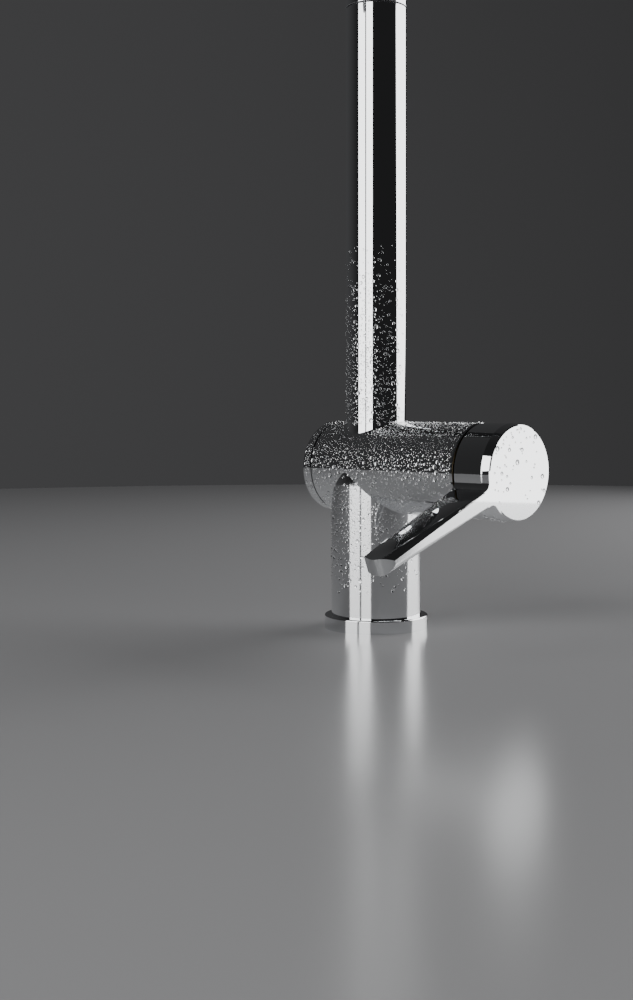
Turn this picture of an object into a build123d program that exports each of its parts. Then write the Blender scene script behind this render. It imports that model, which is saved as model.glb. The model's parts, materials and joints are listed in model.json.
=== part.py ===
from build123d import *
import os
from math import cos, radians, sin, sqrt

os.makedirs("parts", exist_ok=True)

# Frame: millimetres, +Z up. The origin is the centre of the flange's underside on the worktop.
# +X runs along the cross barrel to the handle, and -Y is the front, where the spout points at rest.

# Outside of the fitting
barrel_wall = 6.6
body_step = 0.1
flange_step = 3.75
flange_h = 7.3
flange_edge = 0.9
barrel_z = 86.0
barrel_right = 72.8
barrel_left = 25.3
end_chamfer = 0.5

# Handle
handle_gap = 1.7
hub_l = 21.5
handle_angle = 21.0
arm_l = 107.0
arm_t = 8.0
arm_drop = 2.0
arm_tip_w = 14.0
arm_tip_slant = 6.0
arm_tip_round = 7.0
arm_inner_edge = 0.5
arm_root_edge = 0.4
arm_tip_edge = 3.6
neck_fillet = 4.0
neck_sink = 0.1
rim_bevel_l = 4.4
rim_bevel_h = 0.7
rim_edge = 0.5
hub_skirt_wall = 3.0
hub_skirt_depth = 9.0
handle_boss_r = 9.0
grub_d = 5.0
grub_l = 8.0
grub_key = 2.5
grub_key_depth = 2.5
grub_plug_d = 6.4
grub_plug_l = 5.0
grub_plug_inset = 1.0
screw_tip_play = 0.2

# Filter knob on the short end of the barrel
knob_gap = 0.5
knob_l = 6.4
knob_edge = 1.6
knob_skirt_wall = 3.4
knob_skirt_depth = 2.6
knob_screw_d = 3.0
knob_screw_l = 6.0
knob_socket_play = 0.3

# Riser and spout
riser_d = 31.8
riser_wall = 2.0
riser_seat_rise = 12.0
seam_z = 325.6
seam_gap = 0.6
spout_rise = 58.4
spout_bend = 30.0
spout_reach = 150.0
spout_nose = 22.0
spout_end_edge = 2.0
nozzle_d = 27.0
nozzle_drop = 7.0
nozzle_root = 9.5
plug_depth = 8.0
plug_wall = 1.6
plug_rim_t = 2.8

# Fits
thread_play = 0.05
run_play = 0.06
seal_play = 0.10
face_play = 0.10

# Deck fixing
deck_t = 30.0
shank_d = 32.0
shank_bore_d = 27.4
shank_top_z = 11.5
shank_top_play = 0.5
shank_below_nut = 6.0
body_shoulder = 4.0
body_lift = 0.8
base_seal_t = 1.6
base_seal_w = 3.2
clamp_w = 9.0
deck_gasket_t = 2.4
deck_washer_t = 1.8
nut_t = 9.0
nut_wall = 4.5
nut_collar_t = 2.2
nut_collar_step = 1.0

# Waterways in the body
inlet_thread_r = 4.6
inlet_thread_l = 10.0
inlet_y = 7.0
inlet_x = 3.0
waterway_r = 3.2
supply_drop = 5.0
mixed_rise = 7.5
mixed_rise_x = 9.5
feed_r = 2.6
feed_rise = 2.0
filter_way_y = -6.0
drill_past = 1.0

# Mixer cartridge
cartridge_d = 35.0
cartridge_seat_x = 39.0
cartridge_l = 23.0
cartridge_wall = 2.6
cartridge_neck_d = 24.0
cartridge_neck_l = 6.0
port_groove = 0.9
port_seal_r = 4.4
port_play = 0.3
disc_t = 3.6
disc_inset = 1.6
slot_r = 7.8
slot_turn = 140.0
stem_d = 14.0
stem_square = 7.5
stem_square_edge = 0.6
stem_shoulder = 0.8
stem_reach = 15.0
stem_end_play = 0.6
ring_nut_step = 1.5
ring_nut_reach = 2.3
ring_nut_collar = 2.0
ring_nut_slots = 6
key_slot_w = 3.0
key_slot_l = 4.0
boss_play = 1.0
socket_play = 0.06

# Filter valve
valve_d = 18.0
valve_seat_x = 7.0
valve_wall = 1.8
valve_flange_d = 26.0
valve_flange_t = 3.6
valve_disc_t = 2.4
valve_disc_play = 0.4
valve_port_wall = 0.8
spindle_d = 7.0
spindle_flat = 2.6
spindle_plate_t = 2.4
spindle_short = 2.2

# Filter capsule in the riser
capsule_d = 25.0
capsule_l = 150.0
capsule_drop = 25.6
capsule_nipple_d = 8.0
capsule_nipple_l = 7.0
nipple_wall = 1.6
capsule_dome = 5.0
seat_wall_t = 8.0
seat_rim = 1.6
seat_hub_wall = 3.0
spoke_w = 2.4
feed_tube_d = 8.0
feed_tube_bore_d = 5.0
feed_tube_socket = 4.0
capsule_ring_d = 1.2
capsule_socket_wall = 1.2

# Swivel joint
adapter_sleeve_l = 14.0
spigot_len = 26.0
swivel_d = 22.0
swivel_ring_d = 1.8
swivel_ring_inset = 6.5
side_way_r = 1.6
side_ways = 4
slip_ring_drop = 0.45
lock_groove_depth = 1.0
lock_groove_w = 4.6
lock_screw_d = 4.0
lock_screw_sunk = 0.6
lock_key = 2.0
lock_key_depth = 1.8
clean_tube_d = 7.0
clean_tube_bore_d = 4.6
clean_tube_socket = 6.0
clean_bend = 14.0

# Outlet
aerator_wall = 1.8
aerator_sleeve_l = 11.0
aerator_lip = 1.2
grille_t = 2.0
grille_cell = 2.5
grille_web = 0.7
grille_rows = 9
centre_nozzle_d = 8.6

barrel_r = cartridge_d / 2 + barrel_wall
body_r = barrel_r - body_step
flange_r = body_r + flange_step
riser_seat_z = barrel_z + riser_seat_rise
spout_z = seam_z + spout_rise
riser_r = riser_d / 2
riser_bore_r = riser_r - riser_wall
hub_x = barrel_right + handle_gap
face_x = hub_x + hub_l
knob_x = -barrel_left - knob_gap
knob_face_x = knob_x - knob_l
arm_a = radians(handle_angle)
barrel_axis = Axis((0, 0, barrel_z), (1, 0, 0))


# Planes square to the barrel: local x is +Y, local y is +Z, the normal is +X
def across(x, y=0.0, z=0.0):
    return Plane(origin=(x, y, barrel_z + z), x_dir=(0, 1, 0), z_dir=(1, 0, 0))


# The same, turned so that local x points along the handle's arm
def along_arm(x):
    return Plane(origin=(x, 0, barrel_z), x_dir=(0, -cos(arm_a), -sin(arm_a)), z_dir=(1, 0, 0))


def level(z, x=0.0, y=0.0):
    return Plane(origin=(x, y, z), x_dir=(1, 0, 0), z_dir=(0, 0, 1))


# Adds, or cuts, a round bar or tube from a plane along its normal
def bar(plane, outer_r, length, inner_r=0.0, mode=Mode.ADD):
    with BuildSketch(plane) as section:
        Circle(outer_r)
        if inner_r > 0:
            Circle(inner_r, mode=Mode.SUBTRACT)
    extrude(section.sketch, amount=length, mode=mode)


def drill(plane, radius, length):
    bar(plane, radius, length, mode=Mode.SUBTRACT)


# Adds, or cuts, a torus for an O-ring that lies in a plane
def ring(plane, ring_r, section_r, mode=Mode.ADD):
    turned = Plane(origin=plane.origin, x_dir=plane.x_dir, z_dir=plane.y_dir)
    with BuildSketch(turned) as section:
        with Locations((ring_r, 0)):
            Circle(section_r)
    revolve(section.sketch, axis=Axis(plane.origin, plane.z_dir), mode=mode)


# Adds, or cuts, a round bar along a line that starts at a height above the origin
def bent_bar(line, start_z, radius, mode=Mode.ADD):
    with BuildSketch(level(start_z)) as section:
        Circle(radius)
    sweep(section.sketch, path=line.line, mode=mode)


# Cuts a hexagon socket across its flats
def key_socket(plane, flats, depth):
    with BuildSketch(plane) as hexagon_socket:
        RegularPolygon(flats / 2, 6, major_radius=False)
    extrude(hexagon_socket.sketch, amount=depth, mode=Mode.SUBTRACT)


# The widest round edge of a level: -1 is the highest level and 0 the lowest
def widest(piece, which):
    return piece.edges().filter_by(GeomType.CIRCLE).group_by(Axis.Z)[which].sort_by(SortBy.RADIUS)[-1]


# Every piece is labelled and written under its own name
def save(piece, name):
    piece.part.label = name
    export_step(piece.part, f"parts/{name}.step")


# Body: one casting with the upright, the cross barrel and the drilled waterways
cartridge_bore_r = cartridge_d / 2 + thread_play
ring_nut_r = cartridge_d / 2 + ring_nut_step
nut_floor_x = cartridge_seat_x + cartridge_l
shank_thread_r = shank_d / 2 + thread_play
shank_roof_z = shank_top_z + shank_top_play
spigot_r = body_r - body_shoulder
supply_z = barrel_z - supply_drop
mixed_z = barrel_z + mixed_rise
feed_z = barrel_z + feed_rise
past_left = -2 * barrel_left
with BuildPart() as tee_body:
    bar(level(flange_h), body_r, barrel_z - flange_h)
    bar(across(-barrel_left), barrel_r, barrel_left + barrel_right)
    chamfer(tee_body.edges().filter_by(GeomType.CIRCLE).group_by(Axis.X)[0], end_chamfer)
    chamfer(tee_body.edges().filter_by(GeomType.CIRCLE).group_by(Axis.X)[-1], end_chamfer)
    bar(level(body_lift), spigot_r, flange_h - body_lift)
    drill(level(body_lift), shank_thread_r, shank_roof_z - body_lift)
    drill(level(riser_seat_z), riser_r + thread_play, body_r)
    drill(across(cartridge_seat_x), cartridge_bore_r, barrel_right)
    drill(across(nut_floor_x), ring_nut_r + thread_play, barrel_right)
    drill(across(past_left), valve_d / 2 + thread_play, -valve_seat_x - past_left)
    drill(across(past_left), valve_flange_d / 2 + thread_play, barrel_left + valve_flange_t)
    for side in (-1, 1):
        inlet_roof = level(shank_roof_z, inlet_x, side * inlet_y)
        drill(inlet_roof.offset(-drill_past), inlet_thread_r, inlet_thread_l + drill_past)
        drill(inlet_roof, waterway_r, supply_z - shank_roof_z)
        drill(across(inlet_x, side * inlet_y, -supply_drop), waterway_r, cartridge_seat_x)
    drill(across(mixed_rise_x, 0, mixed_rise), waterway_r, cartridge_seat_x)
    drill(level(mixed_z, mixed_rise_x), waterway_r, body_r)
    valve_floor_x = -valve_seat_x - drill_past
    drill(across(valve_floor_x, filter_way_y, -supply_drop), waterway_r / 2, inlet_x - valve_floor_x)
    drill(across(valve_floor_x, 0, feed_rise), feed_r, -valve_floor_x)
    drill(level(feed_z), feed_r, riser_seat_z)
    drill(level(riser_seat_z - feed_tube_socket), feed_tube_d / 2 + thread_play, body_r)
save(tee_body, "tee_body")

# Base flange, slipped over the body's spigot and clamped under its shoulder
with BuildPart() as base_flange:
    bar(level(0), flange_r, flange_h - face_play / 2, spigot_r + thread_play)
    fillet(widest(base_flange, -1), flange_edge)
    seal_mid_r = (flange_r + spigot_r) / 2
    bar(level(0), seal_mid_r + base_seal_w / 2, base_seal_t, seal_mid_r - base_seal_w / 2, Mode.SUBTRACT)
save(base_flange, "base_flange")

with BuildPart() as base_seal:
    groove_side = base_seal_w / 2 - thread_play
    bar(level(0), seal_mid_r + groove_side, base_seal_t - thread_play, seal_mid_r - groove_side)
save(base_seal, "base_seal")

# Threaded shank through the worktop, with what clamps it from below
clamp_bore_r = shank_d / 2 + seal_play
clamp_r = shank_d / 2 + clamp_w
gasket_top_z = -deck_t
washer_top_z = gasket_top_z - deck_gasket_t
nut_top_z = washer_top_z - deck_washer_t
shank_bottom_z = nut_top_z - nut_t - shank_below_nut
with BuildPart() as deck_shank:
    bar(level(shank_bottom_z), shank_d / 2, shank_top_z - shank_bottom_z, shank_bore_d / 2)
    chamfer(deck_shank.edges().filter_by(GeomType.CIRCLE).group_by(Axis.Z)[0], end_chamfer)
save(deck_shank, "deck_shank")

with BuildPart() as deck_gasket:
    bar(level(washer_top_z), clamp_r, deck_gasket_t, clamp_bore_r)
save(deck_gasket, "deck_gasket")

with BuildPart() as deck_washer:
    bar(level(nut_top_z), clamp_r, deck_washer_t, clamp_bore_r)
save(deck_washer, "deck_washer")

with BuildPart() as deck_nut:
    bar(level(nut_top_z - nut_collar_t), clamp_r - nut_collar_step, nut_collar_t)
    with BuildSketch(level(nut_top_z - nut_t)) as hexagon:
        RegularPolygon(shank_d / 2 + nut_wall, 6, major_radius=False)
    extrude(hexagon.sketch, amount=nut_t - nut_collar_t)
    drill(level(nut_top_z - nut_t), clamp_bore_r, nut_t)
save(deck_nut, "deck_nut")

# Riser tube, brazed into the barrel's socket
riser_top_z = seam_z - seam_gap / 2
with BuildPart() as riser_tube:
    bar(level(riser_seat_z), riser_r, riser_top_z - riser_seat_z, riser_bore_r)
    fillet(widest(riser_tube, -1), end_chamfer / 2)
save(riser_tube, "riser_tube")

# Feed tube from the filter valve's waterway up to the capsule
capsule_top_z = seam_z - capsule_drop
capsule_bottom_z = capsule_top_z - capsule_l
seat_bottom_z = capsule_bottom_z - capsule_nipple_l - seat_wall_t
feed_tube_bottom_z = riser_seat_z - feed_tube_socket
feed_tube_l = seat_bottom_z + feed_tube_socket - feed_tube_bottom_z
with BuildPart() as filter_feed_tube:
    bar(level(feed_tube_bottom_z), feed_tube_d / 2, feed_tube_l, feed_tube_bore_d / 2)
save(filter_feed_tube, "filter_feed_tube")

# Capsule seat: a hub on three spokes, so the mixed water passes round it
seat_r = riser_bore_r - thread_play
seat_hub_r = capsule_nipple_d / 2 + seat_hub_wall
seat_h = seat_wall_t + capsule_nipple_l - face_play
spoke_mid_r = (seat_r - seat_rim / 2 + seat_hub_r) / 2
with BuildPart() as capsule_seat:
    bar(level(seat_bottom_z), seat_r, seat_h, seat_r - seat_rim)
    bar(level(seat_bottom_z), seat_hub_r, seat_h)
    with BuildSketch(level(seat_bottom_z)) as spokes:
        with PolarLocations(spoke_mid_r, 3):
            Rectangle(seat_r - seat_hub_r, spoke_w)
    extrude(spokes.sketch, amount=seat_wall_t)
    drill(level(seat_bottom_z), feed_tube_d / 2 + thread_play, feed_tube_socket)
    drill(level(seat_bottom_z), feed_tube_bore_d / 2, seat_h)
    drill(level(capsule_bottom_z - capsule_nipple_l), capsule_nipple_d / 2 + seal_play, capsule_nipple_l)
save(capsule_seat, "capsule_seat")

# Filter capsule, a sealed can with a nipple at each end
capsule_r = capsule_d / 2
nipple_r = capsule_nipple_d / 2
nipple_bore_r = nipple_r - nipple_wall
capsule_ring_r = capsule_ring_d / 2
capsule_ring_mid_r = nipple_r + seal_play - capsule_ring_r
with BuildPart() as filter_capsule:
    with BuildSketch(Plane.XZ) as can_half:
        with BuildLine():
            Polyline(
                (nipple_bore_r, capsule_top_z + capsule_nipple_l),
                (nipple_bore_r, capsule_bottom_z - capsule_nipple_l + face_play),
                (nipple_r, capsule_bottom_z - capsule_nipple_l + face_play),
                (nipple_r, capsule_bottom_z),
                (capsule_r - capsule_dome, capsule_bottom_z),
            )
            TangentArc(
                (capsule_r - capsule_dome, capsule_bottom_z),
                (capsule_r, capsule_bottom_z + capsule_dome),
                tangent=(1, 0),
            )
            Line((capsule_r, capsule_bottom_z + capsule_dome), (capsule_r, capsule_top_z - capsule_dome))
            TangentArc(
                (capsule_r, capsule_top_z - capsule_dome),
                (capsule_r - capsule_dome, capsule_top_z),
                tangent=(0, 1),
            )
            Polyline(
                (capsule_r - capsule_dome, capsule_top_z),
                (nipple_r, capsule_top_z),
                (nipple_r, capsule_top_z + capsule_nipple_l),
                (nipple_bore_r, capsule_top_z + capsule_nipple_l),
            )
        make_face()
    revolve(can_half.sketch, axis=Axis.Z)
    capsule_ring_z = (capsule_bottom_z - capsule_nipple_l / 2, capsule_top_z + capsule_nipple_l / 2)
    for ring_z in capsule_ring_z:
        ring(level(ring_z), capsule_ring_mid_r, capsule_ring_r, Mode.SUBTRACT)
save(filter_capsule, "filter_capsule")

with BuildPart() as capsule_seals:
    for ring_z in capsule_ring_z:
        ring(level(ring_z), capsule_ring_mid_r, capsule_ring_r - thread_play)
save(capsule_seals, "capsule_seals")

# Riser adapter: a sleeve in the riser's mouth with the spigot that the spout turns on
adapter_bottom_z = seam_z - adapter_sleeve_l
spigot_top_z = seam_z + spigot_len
swivel_r = swivel_d / 2
slip_ring_r = riser_r - slip_ring_drop
slip_bottom_z = seam_z - seam_gap / 2
slip_top_z = seam_z + seam_gap / 2
seal_zs = (seam_z + swivel_ring_inset, spigot_top_z - swivel_ring_inset)
lock_z = seam_z + spigot_len / 2
ring_section_r = swivel_ring_d / 2
swivel_ring_mid_r = swivel_r + run_play / 2 - ring_section_r + thread_play
capsule_socket_r = nipple_r + seal_play
capsule_boss_r = capsule_socket_r + capsule_socket_wall
with BuildPart() as riser_adapter:
    bar(level(adapter_bottom_z), riser_bore_r - thread_play, adapter_sleeve_l - seam_gap / 2)
    bar(level(adapter_bottom_z), swivel_r, spigot_top_z - adapter_bottom_z)
    bar(level(capsule_top_z + face_play), capsule_boss_r, adapter_bottom_z - capsule_top_z)
    drill(level(capsule_top_z), capsule_socket_r, spigot_top_z - capsule_top_z)
    with BuildSketch(level(adapter_bottom_z)) as ways:
        with PolarLocations(capsule_boss_r + side_way_r + thread_play, side_ways):
            Circle(side_way_r)
    extrude(ways.sketch, amount=spigot_top_z - adapter_bottom_z, mode=Mode.SUBTRACT)
    for seal_z in seal_zs:
        ring(level(seal_z), swivel_ring_mid_r, ring_section_r, Mode.SUBTRACT)
    lock_groove = level(lock_z - lock_groove_w / 2)
    groove_r = swivel_r - lock_groove_depth
    bar(lock_groove, swivel_r + drill_past, lock_groove_w, groove_r, Mode.SUBTRACT)
save(riser_adapter, "riser_adapter")

with BuildPart() as swivel_seals:
    for seal_z in seal_zs:
        ring(level(seal_z), swivel_ring_mid_r, ring_section_r - thread_play)
save(swivel_seals, "swivel_seals")

with BuildPart() as slip_ring:
    bar(level(slip_bottom_z), slip_ring_r, seam_gap / 2, swivel_r + thread_play)
save(slip_ring, "slip_ring")

# Spout: a bent tube with a nozzle boss, turned on the spigot by its bush
bush_bore_r = swivel_r + run_play
spout_end_y = -(spout_reach + spout_nose)
nozzle_top_z = spout_z - nozzle_root
nozzle_face_z = spout_z - riser_r - nozzle_drop
aerator_r = nozzle_d / 2 - aerator_wall
outlet = level(nozzle_face_z, 0, -spout_reach)
lock_plane = Plane(origin=(0, 0, lock_z), x_dir=(1, 0, 0), z_dir=(0, 1, 0))
with BuildPart() as spout:
    with BuildLine() as spout_line:
        rise = Line((0, 0, slip_top_z), (0, 0, spout_z - spout_bend))
        bend = TangentArc((0, 0, spout_z - spout_bend), (0, -spout_bend, spout_z), tangent=(0, 0, 1))
        run = Line((0, -spout_bend, spout_z), (0, spout_end_y, spout_z))
    bent_bar(spout_line, slip_top_z, riser_r)
    bar(outlet, nozzle_d / 2, nozzle_top_z - nozzle_face_z)
    bent_bar(spout_line, slip_top_z, riser_bore_r, Mode.SUBTRACT)
    drill(outlet, aerator_r, spout_z - nozzle_face_z)
    drill(lock_plane, lock_screw_d / 2 + thread_play, riser_r + drill_past)
    fillet(widest(spout, 0), end_chamfer / 2)
save(spout, "spout")

# Plastic bush pressed into the spout, which runs on the spigot
with BuildPart() as swivel_bush:
    bar(level(slip_top_z + face_play), riser_bore_r - thread_play, spigot_len - seam_gap, bush_bore_r)
    drill(lock_plane, lock_screw_d / 2 + thread_play, riser_r)
save(swivel_bush, "swivel_bush")

# Grub screw at the back of the spout; its tip runs in the spigot's groove
lock_tip_y = swivel_r - lock_groove_depth / 2
lock_end_y = riser_r - lock_screw_sunk
with BuildPart() as spout_lock_screw:
    bar(lock_plane.offset(lock_tip_y), lock_screw_d / 2, lock_end_y - lock_tip_y)
    key_socket(lock_plane.offset(lock_end_y - lock_key_depth), lock_key, lock_key_depth)
save(spout_lock_screw, "spout_lock_screw")

# Plug that closes the spout's end
plug_r = riser_bore_r - thread_play
with BuildPart() as spout_end_cap:
    end_plane = Plane(origin=(0, spout_end_y, spout_z), x_dir=(1, 0, 0), z_dir=(0, -1, 0))
    bar(end_plane, riser_r, plug_rim_t)
    outer_rim = spout_end_cap.edges().filter_by(GeomType.CIRCLE).group_by(Axis.Y)[0]
    fillet(outer_rim, spout_end_edge)
    bar(end_plane.offset(-plug_depth), plug_r, plug_depth)
    drill(end_plane.offset(-plug_depth), plug_r - plug_wall, plug_depth - plug_wall)
save(spout_end_cap, "spout_end_cap")

# Aerator: a sleeve in the nozzle with a grille for mixed water and a centre jet for filtered water
centre_r = centre_nozzle_d / 2
grille_r = aerator_r - aerator_wall
with BuildPart() as aerator_sleeve:
    bar(outlet.offset(-aerator_lip), aerator_r - thread_play, aerator_sleeve_l + aerator_lip, grille_r)
save(aerator_sleeve, "aerator_sleeve")

with BuildPart() as aerator_grille:
    bar(outlet, grille_r - thread_play, grille_t, centre_r + thread_play)
    with BuildSketch(outlet) as cells:
        with HexLocations((grille_cell + grille_web) / 2, grille_rows, grille_rows):
            RegularPolygon(grille_cell / 2, 6, major_radius=False)
        Circle(grille_r - grille_web, mode=Mode.INTERSECT)
        Circle(centre_r + 2 * grille_web, mode=Mode.SUBTRACT)
    extrude(cells.sketch, amount=grille_t, mode=Mode.SUBTRACT)
save(aerator_grille, "aerator_grille")

# Filtered-water tube inside the spout, from the spigot to the centre jet
clean_r = clean_tube_d / 2
clean_bore_r = clean_tube_bore_d / 2
clean_bottom_z = spigot_top_z - clean_tube_socket
with BuildPart() as filtered_tube:
    with BuildLine() as clean_line:
        Line((0, 0, clean_bottom_z), (0, 0, spout_z - spout_bend))
        TangentArc((0, 0, spout_z - spout_bend), (0, -spout_bend, spout_z), tangent=(0, 0, 1))
        Line((0, -spout_bend, spout_z), (0, -spout_reach + clean_bend, spout_z))
        TangentArc(
            (0, -spout_reach + clean_bend, spout_z),
            (0, -spout_reach, spout_z - clean_bend),
            tangent=(0, -1, 0),
        )
        Line((0, -spout_reach, spout_z - clean_bend), (0, -spout_reach, nozzle_face_z))
    bent_bar(clean_line, clean_bottom_z, clean_r)
    bent_bar(clean_line, clean_bottom_z, clean_bore_r, Mode.SUBTRACT)
save(filtered_tube, "filtered_tube")

# Mixer cartridge: a hollow housing on the bore's floor, held by a ring nut
cartridge_r = cartridge_d / 2
neck_r = cartridge_neck_d / 2
cavity_r = cartridge_r - cartridge_wall
housing_x = cartridge_seat_x + face_play
housing_end_x = cartridge_seat_x + cartridge_l
neck_end_x = housing_end_x + cartridge_neck_l
cavity_x = housing_x + cartridge_wall
stem_bore_r = stem_d / 2 + run_play
port_r = waterway_r + port_play
ports = [(-inlet_y, -supply_drop), (inlet_y, -supply_drop), (0, mixed_rise)]
with BuildPart() as cartridge_housing:
    bar(across(housing_x), cartridge_r, housing_end_x - housing_x)
    bar(across(housing_x), neck_r, neck_end_x - housing_x)
    drill(across(cavity_x), cavity_r, housing_end_x - cartridge_wall - cavity_x)
    drill(across(cavity_x), stem_bore_r, neck_end_x)
    with BuildSketch(across(housing_x)) as port_holes:
        with Locations(*ports):
            Circle(port_r)
    extrude(port_holes.sketch, amount=cartridge_wall, mode=Mode.SUBTRACT)
    with BuildSketch(across(housing_x)) as port_grooves:
        with Locations(*ports):
            Circle(port_seal_r)
    extrude(port_grooves.sketch, amount=port_groove, mode=Mode.SUBTRACT)
save(cartridge_housing, "cartridge_housing")

with BuildPart() as cartridge_seals:
    with BuildSketch(across(cartridge_seat_x)) as port_rings:
        with Locations(*ports):
            Circle(port_seal_r - thread_play)
            Circle(port_r, mode=Mode.SUBTRACT)
    extrude(port_rings.sketch, amount=port_groove + face_play - thread_play)
save(cartridge_seals, "cartridge_seals")

# Ceramic discs: the fixed one carries the three ports, the turning one a curved slot
fixed_disc_x = cavity_x
turning_disc_x = fixed_disc_x + disc_t + thread_play
turning_disc_r = cavity_r - disc_inset
with BuildPart() as fixed_disc:
    bar(across(fixed_disc_x), cavity_r - thread_play, disc_t)
    with BuildSketch(across(fixed_disc_x)) as disc_ports:
        with Locations(*ports):
            Circle(waterway_r)
    extrude(disc_ports.sketch, amount=disc_t, mode=Mode.SUBTRACT)
save(fixed_disc, "fixed_disc")

with BuildPart() as turning_disc:
    bar(across(turning_disc_x), turning_disc_r, disc_t)
    with BuildSketch(across(turning_disc_x)) as slot:
        SlotArc(CenterArc((0, 0), slot_r, (180 - slot_turn) / 2, slot_turn), 2 * waterway_r)
    extrude(slot.sketch, amount=disc_t / 2, mode=Mode.SUBTRACT)
save(turning_disc, "turning_disc")

# Stem with the driver plate behind the turning disc and the square for the handle
driver_x = turning_disc_x + disc_t + thread_play
driver_end_x = housing_end_x - cartridge_wall - face_play
square_x = neck_end_x + stem_shoulder
square_end_x = square_x + stem_reach
with BuildPart() as cartridge_stem:
    bar(across(driver_x), turning_disc_r, driver_end_x - driver_x)
    bar(across(driver_x), stem_d / 2, square_x - driver_x)
    with BuildSketch(along_arm(square_x)) as square:
        RectangleRounded(stem_square, stem_square, stem_square_edge)
    extrude(square.sketch, amount=stem_reach)
save(cartridge_stem, "cartridge_stem")

# Ring nut that clamps the cartridge; its collar fills the gap in front of the handle
ring_nut_x = housing_end_x + face_play / 2
collar_end_x = hub_x + ring_nut_reach + handle_gap
with BuildPart() as cartridge_nut:
    bar(across(ring_nut_x), ring_nut_r, collar_end_x - ring_nut_x, neck_r + thread_play)
    with BuildSketch(across(collar_end_x - ring_nut_collar)) as key_slots:
        with PolarLocations(ring_nut_r, ring_nut_slots):
            Rectangle(key_slot_l, key_slot_w)
    extrude(key_slots.sketch, amount=ring_nut_collar, mode=Mode.SUBTRACT)
save(cartridge_nut, "cartridge_nut")

# Handle: the hub and its arm are one casting.
# The arm's outer side is flat at the hub and goes round towards the tip.
arm_flat = Plane(origin=(0, 0, barrel_z), x_dir=(1, 0, 0), z_dir=(0, sin(arm_a), -cos(arm_a)))
skirt_r = barrel_r - hub_skirt_wall
boss_x = collar_end_x + boss_play
socket_r = stem_square / 2 + socket_play
socket_end_x = square_end_x + stem_end_play
screw_x = (hub_x + hub_skirt_depth + socket_end_x) / 2
grub_frame = Plane(origin=(screw_x, 0, barrel_z), x_dir=(1, 0, 0), z_dir=(0, sin(arm_a), -cos(arm_a)))
grub_start = socket_r + screw_tip_play
grub_plug_start = barrel_r - grub_plug_l - grub_plug_inset
neck_l = 2 * neck_fillet
handle_neck_r = barrel_r - neck_sink


# Section of the arm at a distance from the hub's axis, square to the arm: local x is +X
def arm_section(distance, outer_edge):
    place = (hub_x, -cos(arm_a) * distance, barrel_z - sin(arm_a) * distance)
    square_on = Plane(origin=place, x_dir=(1, 0, 0), z_dir=(0, -cos(arm_a), -sin(arm_a)))
    inner_x = (hub_l - arm_tip_w) * (distance - barrel_r) / (arm_l - arm_tip_slant - barrel_r)
    with BuildSketch(square_on) as section:
        with Locations(((inner_x + hub_l) / 2, -arm_drop)):
            Rectangle(hub_l - inner_x, arm_t)
        fillet(section.vertices().sort_by(Axis.X)[2:], outer_edge)
        fillet(section.vertices().sort_by(Axis.X)[:2], arm_inner_edge)
    return section.sketch


with BuildPart() as handle:
    loft([arm_section(barrel_r, arm_root_edge), arm_section(arm_l, arm_tip_edge)])
    with BuildSketch(along_arm(hub_x)) as neck:
        Circle(handle_neck_r)
        with Locations((arm_l / 2, arm_drop)):
            Rectangle(arm_l, arm_t)
        corners = [v for v in neck.vertices() if abs(sqrt(v.X**2 + v.Y**2) - handle_neck_r) < neck_sink]
        fillet(corners, neck_fillet)
        with Locations((barrel_r, arm_drop)):
            Rectangle(neck_l, arm_t + 4 * neck_fillet, mode=Mode.INTERSECT)
    extrude(neck.sketch, amount=hub_l)
    with BuildSketch(arm_flat.offset(-barrel_r)) as arm_plan:
        with BuildLine():
            Polyline(
                (hub_x, 0),
                (hub_x, arm_l - arm_tip_slant),
                (face_x - arm_tip_w, arm_l - arm_tip_slant),
                (face_x, arm_l),
                (face_x, 0),
                (hub_x, 0),
            )
        make_face()
        fillet(arm_plan.vertices().sort_by(Axis.Y)[-1], arm_tip_round)
    extrude(arm_plan.sketch, amount=2 * barrel_r, mode=Mode.INTERSECT)
    with BuildSketch(Plane.XZ) as hub_half:
        with BuildLine():
            Polyline(
                (hub_x, barrel_z),
                (hub_x, barrel_z + barrel_r),
                (face_x - rim_bevel_l - rim_edge, barrel_z + barrel_r),
                (face_x - rim_edge, barrel_z + barrel_r - rim_bevel_h),
                (face_x, barrel_z + barrel_r - rim_bevel_h - rim_edge),
                (face_x, barrel_z),
                (hub_x, barrel_z),
            )
        make_face()
    revolve(hub_half.sketch, axis=barrel_axis)
    drill(across(hub_x), skirt_r, hub_skirt_depth)
    bar(across(boss_x), handle_boss_r, hub_x + hub_skirt_depth - boss_x)
    with BuildSketch(along_arm(boss_x)) as socket:
        Rectangle(2 * socket_r, 2 * socket_r)
    extrude(socket.sketch, amount=socket_end_x - boss_x, mode=Mode.SUBTRACT)
    drill(grub_frame, grub_d / 2 + thread_play, barrel_r)
    drill(grub_frame.offset(grub_plug_start), grub_plug_d / 2 + thread_play, barrel_r)
save(handle, "handle")

with BuildPart() as handle_screw:
    bar(grub_frame.offset(grub_start), grub_d / 2, grub_l)
    key_socket(grub_frame.offset(grub_start + grub_l - grub_key_depth), grub_key, grub_key_depth)
save(handle_screw, "handle_screw")

with BuildPart() as handle_plug:
    bar(grub_frame.offset(grub_plug_start + face_play), grub_plug_d / 2, grub_plug_l)
save(handle_plug, "handle_plug")

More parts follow.
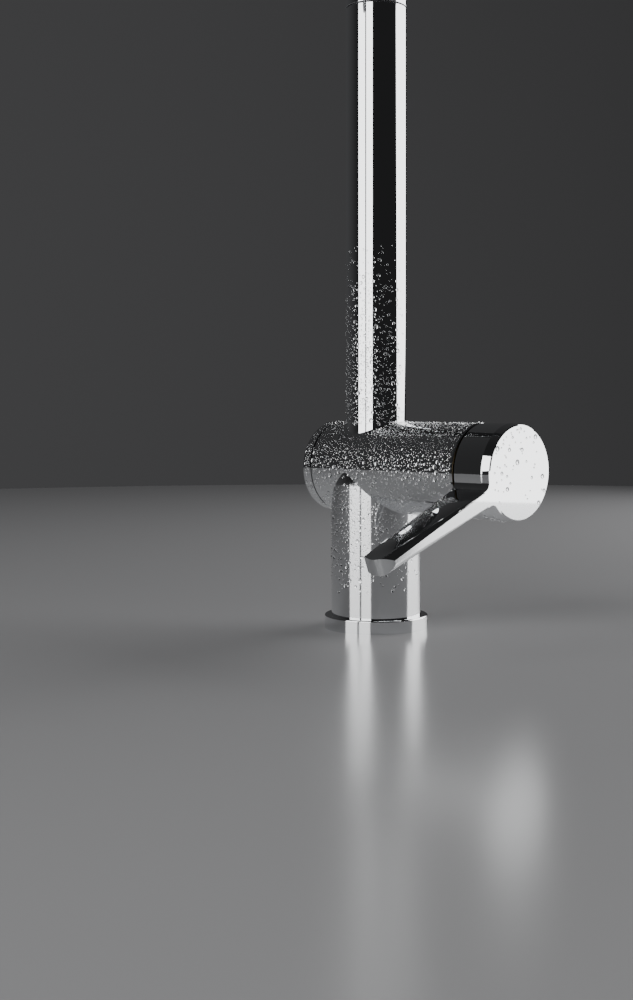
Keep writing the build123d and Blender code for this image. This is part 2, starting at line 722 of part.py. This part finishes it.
# Filter valve: a quarter-turn headwork screwed into the barrel's short end
valve_r = valve_d / 2
valve_x = -valve_seat_x - face_play
valve_flange_x = -barrel_left + valve_flange_t - thread_play
spindle_r = spindle_d / 2
spindle_end_x = knob_face_x + spindle_short
valve_cavity_r = valve_r - valve_wall
valve_cap_x = valve_flange_x - valve_flange_t
with BuildPart() as filter_valve:
    bar(across(valve_flange_x), valve_r, valve_x - valve_flange_x)
    bar(across(valve_cap_x), valve_flange_d / 2, valve_flange_t)
    drill(across(valve_cap_x), spindle_r + run_play, valve_flange_t + drill_past)
    drill(across(valve_flange_x), valve_cavity_r, valve_x - valve_flange_x + drill_past)
save(filter_valve, "filter_valve")

valve_fixed_x = valve_x - valve_disc_t
valve_turning_x = valve_fixed_x - valve_disc_t - thread_play
valve_port_y = valve_cavity_r / 2
with BuildPart() as valve_fixed_disc:
    bar(across(valve_fixed_x), valve_cavity_r - thread_play, valve_disc_t)
    with BuildSketch(across(valve_fixed_x)) as valve_ports:
        with Locations((-valve_port_y, 0), (valve_port_y, 0)):
            Circle(valve_port_y - valve_port_wall)
    extrude(valve_ports.sketch, amount=valve_disc_t, mode=Mode.SUBTRACT)
save(valve_fixed_disc, "valve_fixed_disc")

with BuildPart() as valve_turning_disc:
    bar(across(valve_turning_x), valve_cavity_r - valve_disc_play, valve_disc_t)
    with BuildSketch(across(valve_turning_x)) as butterfly:
        with Locations((-valve_port_y, 0), (valve_port_y, 0)):
            Circle(valve_port_y - valve_port_wall)
    extrude(butterfly.sketch, amount=valve_disc_t, mode=Mode.SUBTRACT)
save(valve_turning_disc, "valve_turning_disc")

spindle_plate_x = valve_turning_x - thread_play
with BuildPart() as filter_spindle:
    bar(across(spindle_end_x), spindle_r, spindle_plate_x - spindle_end_x)
    bar(across(spindle_plate_x - spindle_plate_t), valve_cavity_r - valve_disc_play, spindle_plate_t)
    with BuildSketch(across(spindle_end_x)) as spindle_flats:
        with Locations((0, spindle_flat + spindle_r), (0, -spindle_flat - spindle_r)):
            Rectangle(2 * spindle_r, 2 * spindle_r)
    extrude(spindle_flats.sketch, amount=knob_x - spindle_end_x, mode=Mode.SUBTRACT)
save(filter_spindle, "filter_spindle")

# Filter knob: the end of the barrel line, turned on the valve's spindle
knob_screw_x = (knob_x + knob_face_x) / 2
knob_screw_frame = Plane(origin=(knob_screw_x, 0, barrel_z), x_dir=(1, 0, 0), z_dir=(0, 0, -1))
knob_skirt_x = knob_x - knob_skirt_depth
knob_skirt_r = barrel_r - knob_skirt_wall
with BuildPart() as filter_knob:
    bar(across(knob_face_x), barrel_r, knob_l)
    fillet(filter_knob.edges().filter_by(GeomType.CIRCLE).group_by(Axis.X)[0], knob_edge)
    chamfer(filter_knob.edges().filter_by(GeomType.CIRCLE).group_by(Axis.X)[-1], end_chamfer / 2)
    bar(across(knob_skirt_x), knob_skirt_r, knob_skirt_depth, handle_boss_r, Mode.SUBTRACT)
    with BuildSketch(across(spindle_end_x - knob_socket_play)) as spindle_socket:
        Rectangle(2 * spindle_d, 2 * spindle_flat + 2 * socket_play)
        Circle(spindle_r + socket_play, mode=Mode.INTERSECT)
    extrude(spindle_socket.sketch, amount=knob_l, mode=Mode.SUBTRACT)
    drill(knob_screw_frame, knob_screw_d / 2 + thread_play, barrel_r + drill_past)
save(filter_knob, "filter_knob")

with BuildPart() as knob_screw:
    bar(knob_screw_frame.offset(spindle_flat + screw_tip_play), knob_screw_d / 2, knob_screw_l)
save(knob_screw, "knob_screw")
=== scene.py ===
import json
import math
import random

import bmesh
import bpy
from mathutils import Matrix, Vector


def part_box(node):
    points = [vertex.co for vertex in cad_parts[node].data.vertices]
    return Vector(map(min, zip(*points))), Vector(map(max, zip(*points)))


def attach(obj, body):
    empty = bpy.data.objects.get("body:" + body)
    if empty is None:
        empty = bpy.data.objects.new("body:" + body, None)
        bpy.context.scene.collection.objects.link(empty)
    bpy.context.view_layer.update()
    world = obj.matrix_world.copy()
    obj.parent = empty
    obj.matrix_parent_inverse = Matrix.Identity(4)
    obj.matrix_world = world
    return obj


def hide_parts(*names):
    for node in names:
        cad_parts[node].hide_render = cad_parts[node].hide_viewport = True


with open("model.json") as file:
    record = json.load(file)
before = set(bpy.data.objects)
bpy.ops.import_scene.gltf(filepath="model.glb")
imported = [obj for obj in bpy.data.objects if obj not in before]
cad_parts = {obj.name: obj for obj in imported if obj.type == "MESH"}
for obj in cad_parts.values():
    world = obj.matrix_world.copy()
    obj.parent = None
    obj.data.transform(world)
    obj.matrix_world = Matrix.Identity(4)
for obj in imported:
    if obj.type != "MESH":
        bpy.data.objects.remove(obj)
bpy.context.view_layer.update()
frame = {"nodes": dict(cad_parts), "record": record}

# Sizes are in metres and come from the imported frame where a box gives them
riser_low, riser_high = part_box("riser_tube")
flange_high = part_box("base_flange")[1]
handle_low, handle_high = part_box("handle")
knob_low, knob_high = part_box("filter_knob")
cap_low, cap_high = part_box("spout_end_cap")
nozzle_low, nozzle_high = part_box("aerator_sleeve")
shank_low, shank_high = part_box("deck_shank")
barrel_r = knob_high.y
barrel_z = (knob_low.z + knob_high.z) / 2
upright_r = barrel_r - 0.0001
riser_r = riser_high.x
nozzle_r = 0.0135
nozzle_y = (nozzle_low.y + nozzle_high.y) / 2
spout_z = (cap_low.z + cap_high.z) / 2
spout_bend = 0.030
hub_back_x = handle_low.x
face_x = handle_high.x
barrel_end_x = 0.0728
arm_slope = 21.0
arm_l = 0.107
arm_level = 0.002
arm_taper = 0.0081
arm_root_edge = 0.0004
arm_edge_growth = 0.0032

# Camera fitted to the photograph: place, heading and focal length
camera_distance = 0.7439
camera_height = 0.1191
camera_azimuth = 43.32
camera_turn = 2.458
camera_dip = 3.902
camera_roll = -0.172
photo_height_px = 1000
focal_px = 1391.2

# Surfaces closer than this belong together
near = 0.00003


def heading(degrees_round):
    """Level direction at an angle from the front, towards the handle."""
    a = math.radians(degrees_round)
    return Vector((math.sin(a), -math.cos(a), 0))


def make_camera():
    camera = bpy.data.objects.new("camera", bpy.data.cameras.new("camera"))
    bpy.context.scene.collection.objects.link(camera)
    place = heading(camera_azimuth) * camera_distance + Vector((0, 0, camera_height))
    dip = math.radians(camera_dip)
    forward = -heading(camera_azimuth + camera_turn) * math.cos(dip) - Vector((0, 0, math.sin(dip)))
    right = forward.cross(Vector((0, 0, 1))).normalized()
    up = right.cross(forward)
    turn = Matrix((right, up, -forward)).transposed().to_4x4()
    roll = Matrix.Rotation(math.radians(camera_roll), 4, "Z")
    camera.matrix_world = Matrix.Translation(place) @ turn @ roll
    camera.data.lens = focal_px / photo_height_px * camera.data.sensor_width
    camera.data.clip_start = 0.01
    bpy.context.scene.camera = camera


# Materials
def shader(name, color, metallic=0.0, roughness=0.5, **more):
    """A plain surface. The other inputs are named by their sockets, with _ for a space."""
    material = bpy.data.materials.new(name)
    material.use_nodes = True
    surface = material.node_tree.nodes["Principled BSDF"]
    surface.inputs["Base Color"].default_value = (*color, 1)
    surface.inputs["Metallic"].default_value = metallic
    surface.inputs["Roughness"].default_value = roughness
    for key, value in more.items():
        surface.inputs[key.replace("_", " ")].default_value = value
    return material, surface


def add_noise(material, scale, detail=3.0):
    nodes = material.node_tree.nodes
    place = nodes.new("ShaderNodeTexCoord")
    noise = nodes.new("ShaderNodeTexNoise")
    noise.inputs["Scale"].default_value = scale
    noise.inputs["Detail"].default_value = detail
    material.node_tree.links.new(place.outputs["Object"], noise.inputs["Vector"])
    return noise


def vary_roughness(material, surface, low, high, scale):
    """Roughness wanders between two values over the surface."""
    noise = add_noise(material, scale)
    spread = material.node_tree.nodes.new("ShaderNodeMapRange")
    spread.inputs["To Min"].default_value = low
    spread.inputs["To Max"].default_value = high
    material.node_tree.links.new(noise.outputs["Fac"], spread.inputs["Value"])
    material.node_tree.links.new(spread.outputs["Result"], surface.inputs["Roughness"])


def add_bump(material, surface, scale, depth, strength=1.0):
    noise = add_noise(material, scale)
    bump = material.node_tree.nodes.new("ShaderNodeBump")
    bump.inputs["Strength"].default_value = strength
    bump.inputs["Distance"].default_value = depth
    material.node_tree.links.new(noise.outputs["Fac"], bump.inputs["Height"])
    material.node_tree.links.new(bump.outputs["Normal"], surface.inputs["Normal"])


def chrome():
    material, surface = shader("chrome", (0.80, 0.81, 0.82), metallic=1.0, roughness=0.03)
    vary_roughness(material, surface, 0.015, 0.04, 25.0)
    return material


def brass():
    material, surface = shader("brass", (0.78, 0.57, 0.28), metallic=1.0, roughness=0.3)
    vary_roughness(material, surface, 0.22, 0.38, 180.0)
    return material


def steel():
    material, surface = shader("steel", (0.62, 0.62, 0.62), metallic=1.0, roughness=0.32)
    vary_roughness(material, surface, 0.24, 0.4, 240.0)
    return material


def rubber():
    material, surface = shader("rubber", (0.02, 0.02, 0.02), roughness=0.65)
    add_bump(material, surface, 900.0, 0.00005)
    return material


def dark_plastic():
    material, surface = shader("dark_plastic", (0.045, 0.045, 0.05), roughness=0.42)
    add_bump(material, surface, 700.0, 0.00002)
    return material


def white_plastic():
    material, surface = shader("white_plastic", (0.82, 0.83, 0.84), roughness=0.28)
    add_bump(material, surface, 400.0, 0.00002)
    return material


def clear_hose():
    material, surface = shader("clear_hose", (0.8, 0.84, 0.86), roughness=0.2, Transmission_Weight=0.5)
    vary_roughness(material, surface, 0.15, 0.3, 200.0)
    return material


def ceramic():
    material, surface = shader("ceramic", (0.9, 0.89, 0.86), roughness=0.15)
    vary_roughness(material, surface, 0.1, 0.2, 300.0)
    return material


def water():
    material, surface = shader("water", (1, 1, 1), roughness=0.0, IOR=1.33, Transmission_Weight=1.0)
    vary_roughness(material, surface, 0.0, 0.02, 900.0)
    return material


kinds = (chrome, brass, steel, rubber, dark_plastic, white_plastic, clear_hose, ceramic, water)
finish = {kind.__name__: kind() for kind in kinds}
slot_of = {part["node"]: part["material_slot"] for part in frame["record"]["subparts"]}
body_of = {n: body for body, ns in frame["record"]["behaviour"]["bodies"].items() for n in ns}


def paint_nodes():
    """Each node of the frame gets the material of its slot."""
    for node, slot in slot_of.items():
        mesh = frame["nodes"][node].data
        mesh.materials.clear()
        mesh.materials.append(finish[slot])


def add_piece(name, mesh, body, slot):
    """A shown piece with the finish of a slot, which rides on a body."""
    piece = bpy.data.objects.new(name, mesh)
    bpy.context.scene.collection.objects.link(piece)
    mesh.materials.clear()
    mesh.materials.append(finish[slot])
    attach(piece, body)
    return piece


# Polished surfaces: each describes a true surface by its distance and normal at a point
def tube_about(point, axis, radius):
    """Surface of a straight round bar."""

    def measure(p):
        out = p - point
        out = out - axis * out.dot(axis)
        return abs(out.length - radius), out.normalized()

    return measure


def bend_about(centre, axis, bend_r, radius):
    """Surface of a round bar that is bent round a centre."""

    def measure(p):
        out = p - centre
        flat = out - axis * out.dot(axis)
        out = p - (centre + flat.normalized() * bend_r)
        return abs(out.length - radius), out.normalized()

    return measure


# The arm's long upper face swells along its middle
crown_rise = 0.0011
crown_start = 0.028
crown_end = 0.1
crown_fade = 0.014
crown_cuts = 24
slope_step = 0.00001
same_way = 0.9999
arm_slope_a = math.radians(arm_slope)
arm_top = Vector((0, -math.sin(arm_slope_a), math.cos(arm_slope_a)))
arm_along = Vector((0, -math.cos(arm_slope_a), -math.sin(arm_slope_a)))
arm_origin = Vector((0, 0, barrel_z))


def smooth_step(share):
    share = min(1, max(0, share))
    return share * share * (3 - 2 * share)


def crown(x, t):
    """Height over the flat face at a place across the arm and a distance along it."""
    share = (t - barrel_r) / (arm_l - barrel_r)
    inner_x = hub_back_x + arm_taper * share
    outer_x = face_x - arm_root_edge - arm_edge_growth * share
    u = (2 * x - inner_x - outer_x) / (outer_x - inner_x)
    ends = smooth_step((t - crown_start) / crown_fade) * smooth_step((crown_end - t) / crown_fade)
    return crown_rise * max(0, 1 - u * u) * ends


def crown_surface(p):
    """Surface of the swelled face."""
    x = p.x
    t = (p - arm_origin).dot(arm_along)
    height = (p - arm_origin).dot(arm_top) - arm_level
    if not crown_start <= t <= crown_end:
        return 1, arm_top
    slope_x = (crown(x + slope_step, t) - crown(x - slope_step, t)) / (2 * slope_step)
    slope_t = (crown(x, t + slope_step) - crown(x, t - slope_step)) / (2 * slope_step)
    normal = arm_top - Vector((slope_x, 0, 0)) - arm_along * slope_t
    return abs(height - crown(x, t)), normal.normalized()


def crown_arm(mesh):
    """Cuts the flat face into a grid and lifts it."""
    shape = bmesh.new()
    shape.from_mesh(mesh)
    cuts = []
    for n in range(crown_cuts + 1):
        t = crown_start + (crown_end - crown_start) * n / crown_cuts
        cuts.append((arm_origin + arm_along * t, arm_along))
    for n in range(1, crown_cuts):
        x = hub_back_x + (face_x - hub_back_x) * n / crown_cuts
        cuts.append((Vector((x, 0, 0)), Vector((1, 0, 0))))
    for place, across in cuts:
        faces = [f for f in shape.faces if f.normal.dot(arm_top) > same_way]
        edges = list({e for f in faces for e in f.edges})
        corners = list({v for f in faces for v in f.verts})
        cut = faces + edges + corners
        bmesh.ops.bisect_plane(shape, geom=cut, dist=1e-6, plane_co=place, plane_no=across)
    upper = {f for f in shape.faces if f.normal.dot(arm_top) > same_way}
    for v in shape.verts:
        if all(f in upper for f in v.link_faces):
            v.co += arm_top * crown(v.co.x, (v.co - arm_origin).dot(arm_along))
    bmesh.ops.triangulate(shape, faces=list(upper))
    shape.to_mesh(mesh)
    shape.free()


def polished(node, surfaces, reshape=None):
    """A copy of the node's mesh stands for it, with the true normals of its round surfaces.

    Faces beside a reshaped one keep the flat face's normal along the edge they share.
    """
    mesh = frame["nodes"][node].data.copy()
    mesh.name = node + "_polished"
    if reshape:
        reshape(mesh)
    spots = [v.co.copy() for v in mesh.vertices]
    normals = [Vector(n.vector) for n in mesh.corner_normals]
    for face in mesh.polygons:
        flat = face.normal
        level = max(abs(flat.x), abs(flat.y), abs(flat.z)) > 0.99999
        for loop in face.loop_indices:
            if level:
                normals[loop] = flat.copy()
        for surface in surfaces:
            found = [surface(spots[v]) for v in face.vertices]
            if max(gap for gap, normal in found) > near or abs(found[0][1].dot(flat)) < 0.97:
                continue
            for loop, (gap, normal) in zip(face.loop_indices, found):
                normals[loop] = normal if normal.dot(flat) > 0 else -normal
            break
        else:
            if reshape and flat.dot(arm_top) > 0.3:
                for loop, v in zip(face.loop_indices, face.vertices):
                    if crown_surface(spots[v])[0] < near:
                        normals[loop] = arm_top.copy()
    mesh.polygons.foreach_set("use_smooth", [True] * len(mesh.polygons))
    mesh.normals_split_custom_set([n.normalized() for n in normals])
    piece = add_piece(node + "_polished", mesh, body_of[node], slot_of[node])
    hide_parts(node)
    return piece


def polish_chrome():
    up = Vector((0, 0, 1))
    along = Vector((1, 0, 0))
    forward = Vector((0, 1, 0))
    origin = Vector((0, 0, 0))
    barrel_mid = Vector((0, 0, barrel_z))
    barrel = tube_about(barrel_mid, along, barrel_r)
    upright = tube_about(origin, up, upright_r)
    riser = tube_about(origin, up, riser_r)
    flange = tube_about(origin, up, flange_high.x)
    spout_run = tube_about(Vector((0, 0, spout_z)), forward, riser_r)
    spout_elbow = bend_about(Vector((0, -spout_bend, spout_z - spout_bend)), along, spout_bend, riser_r)
    nozzle = tube_about(Vector((0, nozzle_y, 0)), up, nozzle_r)
    polished("tee_body", [barrel, upright])
    polished("riser_tube", [riser])
    polished("base_flange", [flange])
    polished("handle", [barrel, crown_surface], crown_arm)
    polished("filter_knob", [barrel])
    polished("spout", [riser, spout_elbow, spout_run, nozzle])
    polished("spout_end_cap", [spout_run])


# Fine thread of the shank
thread_pitch = 0.0015
thread_depth = 0.0009
shank_bore_r = 0.0137


def threaded_shank():
    """The shank with its thread, a ridge that winds up its whole length."""
    sides = 72
    rows_a_turn = 6
    length = shank_high.z - shank_low.z
    rows = round(length / thread_pitch) * rows_a_turn
    outer_r = shank_high.x

    def ridge(row, side):
        turn = row / rows_a_turn - side / sides
        height = 1 - abs(2 * (turn - math.floor(turn)) - 1)
        end = min(row, rows - row) / rows_a_turn
        return outer_r - thread_depth * max(1 - height, 1 - end)

    spots = []
    for row in range(rows + 1):
        z = shank_low.z + length * row / rows
        for side in range(sides):
            a = 2 * math.pi * side / sides
            r = ridge(row, side)
            spots.append((r * math.cos(a), r * math.sin(a), z))
    for z in (shank_high.z, shank_low.z):
        for side in range(sides):
            a = 2 * math.pi * side / sides
            spots.append((shank_bore_r * math.cos(a), shank_bore_r * math.sin(a), z))
    faces = []
    rings = rows + 3
    for row in range(rings):
        lower = row * sides
        upper = (row + 1) % rings * sides
        for side in range(sides):
            after = (side + 1) % sides
            faces.append((lower + side, lower + after, upper + after, upper + side))
    mesh = bpy.data.meshes.new("shank_thread")
    mesh.from_pydata(spots, [], faces)
    mesh.validate()
    piece = add_piece("deck_shank_threaded", mesh, body_of["deck_shank"], slot_of["deck_shank"])
    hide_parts("deck_shank")


# Water drops
drop_sides = 9
drop_rings = ((1.0, -0.08), (0.93, 0.2), (0.7, 0.42), (0.38, 0.55))
drop_top = 0.6
drop_apart = 1.02
barrel_drop_r = (0.00028, 0.0013)
upright_drop_r = (0.0003, 0.0011)
disc_drop_r = (0.0004, 0.0013)
hanging_drop_r = (0.0005, 0.0012)
clear_of_riser = 0.0015
clear_of_barrel = 0.001
dry_below = math.radians(-12)
dry_share = 0.6
dry_side_share = 0.75
barrel_tries = 7000
riser_tries = 1500
upright_tries = 1900
knob_tries = 700
disc_tries = 120
hanging_tries = 30
riser_wet_top = 0.205


class Drops:
    """Drops that sit on one body, kept apart from each other, in one mesh."""

    def __init__(self, seed):
        self.chance = random.Random(seed)
        self.spots = []
        self.faces = []
        self.placed = {}
        self.cell = 0.003

    def is_clear(self, place, radius):
        key = tuple(round(c / self.cell) for c in place)
        for x in (-1, 0, 1):
            for y in (-1, 0, 1):
                for z in (-1, 0, 1):
                    for other, r in self.placed.get((key[0] + x, key[1] + y, key[2] + z), ()):
                        if (other - place).length < (r + radius) * drop_apart:
                            return False
        self.placed.setdefault(key, []).append((place.copy(), radius))
        return True

    def radius(self, smallest, largest):
        """Small drops are common and large ones rare."""
        return smallest + (largest - smallest) * self.chance.random() ** 3

    def add(self, place, normal, radius, stretch=1.0):
        """One dome, stretched downwards where it hangs on a wall."""
        if not self.is_clear(place, radius * stretch):
            return
        down = Vector((0, 0, -1)) - normal * -normal.z
        if down.length < 0.1:
            down = normal.orthogonal()
        down.normalize()
        side = normal.cross(down)
        first = len(self.spots)
        for width, height in drop_rings:
            for n in range(drop_sides):
                a = 2 * math.pi * n / drop_sides
                across = side * math.cos(a) + down * math.sin(a) * stretch
                self.spots.append(place + across * radius * width + normal * radius * height)
        self.spots.append(place + normal * radius * drop_top)
        for ring in range(len(drop_rings) - 1):
            for n in range(drop_sides):
                m = (n + 1) % drop_sides
                low = first + ring * drop_sides
                high = low + drop_sides
                self.faces.append((low + n, high + n, high + m, low + m))
        last = first + (len(drop_rings) - 1) * drop_sides
        for n in range(drop_sides):
            self.faces.append((last + n, len(self.spots) - 1, last + (n + 1) % drop_sides))
        self.faces.append(tuple(first + n for n in range(drop_sides)))

    def finish(self, name, body):
        mesh = bpy.data.meshes.new(name)
        mesh.from_pydata(self.spots, [], self.faces)
        mesh.update()
        mesh.polygons.foreach_set("use_smooth", [True] * len(mesh.polygons))
        add_piece(name, mesh, body, "water")


def wet_barrel(drops, count, low_x, high_x):
    """Drops on the cross barrel: thick on its front and top, thin underneath."""
    for _ in range(count):
        x = drops.chance.uniform(low_x, high_x)
        a = math.radians(drops.chance.triangular(-75, 150, 20))
        if drops.chance.random() < dry_share and a < dry_below:
            continue
        normal = Vector((0, -math.cos(a), math.sin(a)))
        place = Vector((x, 0, barrel_z)) + normal * barrel_r
        if math.hypot(place.x, place.y) < riser_r + clear_of_riser and normal.z > 0:
            continue
        drops.add(place, normal, drops.radius(*barrel_drop_r), drops.chance.uniform(1.0, 1.3))


def wet_upright(drops, count, radius, low_z, high_z, thick_z):
    """Drops on an upright tube, thickest at one height and most on the side away from the handle."""
    for _ in range(count):
        z = drops.chance.triangular(low_z, high_z, thick_z)
        normal = heading(drops.chance.triangular(-70, 110, 25))
        place = normal * radius + Vector((0, 0, z))
        if math.hypot(place.y, place.z - barrel_z) < barrel_r + clear_of_barrel and place.x < barrel_end_x:
            continue
        drops.add(place, normal, drops.radius(*upright_drop_r), drops.chance.uniform(1.0, 1.35))


def wet_disc(drops, count, x, radius, out):
    """Single drops on a round end, more of them near its rim and on its lower front side."""
    for _ in range(count):
        r = radius * drops.chance.random() ** 0.4
        a = drops.chance.uniform(0, 2 * math.pi)
        if math.cos(a) - math.sin(a) > 0 and drops.chance.random() < dry_side_share:
            continue
        place = Vector((x, r * math.cos(a), barrel_z + r * math.sin(a)))
        drops.add(place, Vector((out, 0, 0)), drops.radius(*disc_drop_r), drops.chance.uniform(1.0, 1.3))


def add_water():
    fitting = Drops(11)
    wet_barrel(fitting, barrel_tries, -0.0248, barrel_end_x - 0.001)
    fitting.finish("barrel_drops", "fitting")
    uprights = Drops(12)
    wet_upright(uprights, riser_tries, riser_r, riser_low.z + 0.012, riser_wet_top, 0.108)
    wet_upright(uprights, upright_tries, upright_r, flange_high.z + 0.012, barrel_z, 0.07)
    uprights.finish("upright_drops", "fitting")
    on_knob = Drops(13)
    wet_barrel(on_knob, knob_tries, knob_low.x + 0.002, knob_high.x - 0.0006)
    on_knob.finish("knob_drops", "filter_knob")
    on_handle = Drops(14)
    wet_disc(on_handle, disc_tries, face_x, barrel_r - 0.0025, 1)
    for _ in range(hanging_tries):
        a = math.radians(on_handle.chance.uniform(-130, -60))
        normal = Vector((0, -math.cos(a), math.sin(a)))
        place = Vector((face_x - on_handle.chance.uniform(0.006, 0.014), 0, barrel_z)) + normal * barrel_r
        on_handle.add(place, normal, on_handle.radius(*hanging_drop_r))
    on_handle.finish("handle_drops", "handle")


# Floor and light
floor_r = 1.35


def make_floor():
    bpy.ops.mesh.primitive_circle_add(vertices=256, radius=floor_r, fill_type="NGON")
    floor = bpy.context.object
    floor.name = "floor"
    material, surface = shader("floor", (0.5, 0.5, 0.51), roughness=0.22)
    floor.data.materials.append(material)


def softbox(name, heading_deg, distance, near_end, far_end, high, power):
    """An upright light panel that faces the object, with its two ends measured from its middle."""
    light = bpy.data.lights.new(name, "AREA")
    light.shape = "RECTANGLE"
    light.size = far_end - near_end
    light.size_y = high
    light.energy = power
    panel = bpy.data.objects.new(name, light)
    bpy.context.scene.collection.objects.link(panel)
    middle = heading(heading_deg + 90) * (near_end + far_end) / 2
    panel.location = heading(heading_deg) * distance + middle + Vector((0, 0, high / 2))
    panel.rotation_mode = "QUATERNION"
    panel.rotation_quaternion = (-heading(heading_deg)).to_track_quat("-Z", "Z")


surround_heading = camera_azimuth + 215
surround_dim = 0.016
surround_bright = 0.06
surround_start = 0.3


def make_world():
    """Dim surroundings, lighter on the side that lies behind the object."""
    world = bpy.data.worlds.new("studio")
    world.use_nodes = True
    nodes = world.node_tree.nodes
    links = world.node_tree.links
    background = nodes["Background"]
    background.inputs["Color"].default_value = (1, 1, 1.03, 1)
    place = nodes.new("ShaderNodeTexCoord")
    towards = nodes.new("ShaderNodeVectorMath")
    towards.operation = "DOT_PRODUCT"
    towards.inputs[1].default_value = heading(surround_heading)
    spread = nodes.new("ShaderNodeMapRange")
    spread.inputs["From Min"].default_value = surround_start
    spread.inputs["To Min"].default_value = surround_dim
    spread.inputs["To Max"].default_value = surround_bright
    links.new(place.outputs["Generated"], towards.inputs[0])
    links.new(towards.outputs["Value"], spread.inputs["Value"])
    links.new(spread.outputs["Result"], background.inputs["Strength"])
    bpy.context.scene.world = world


front_heading = camera_azimuth - 41.5
front_distance = 1.6
front_height = 1.3
back_heading = 161
back_distance = 1.0
back_height = 0.9


def make_light():
    softbox("softbox_left", front_heading, front_distance, -0.87, 0.0, front_height, 13.5)
    softbox("softbox_middle", front_heading, front_distance, 0.12, 0.87, front_height, 11.6)
    softbox("softbox_right", back_heading, back_distance, -0.65, 0.65, back_height, 14)


make_camera()
paint_nodes()
polish_chrome()
threaded_shank()
add_water()
make_floor()
make_world()
make_light()
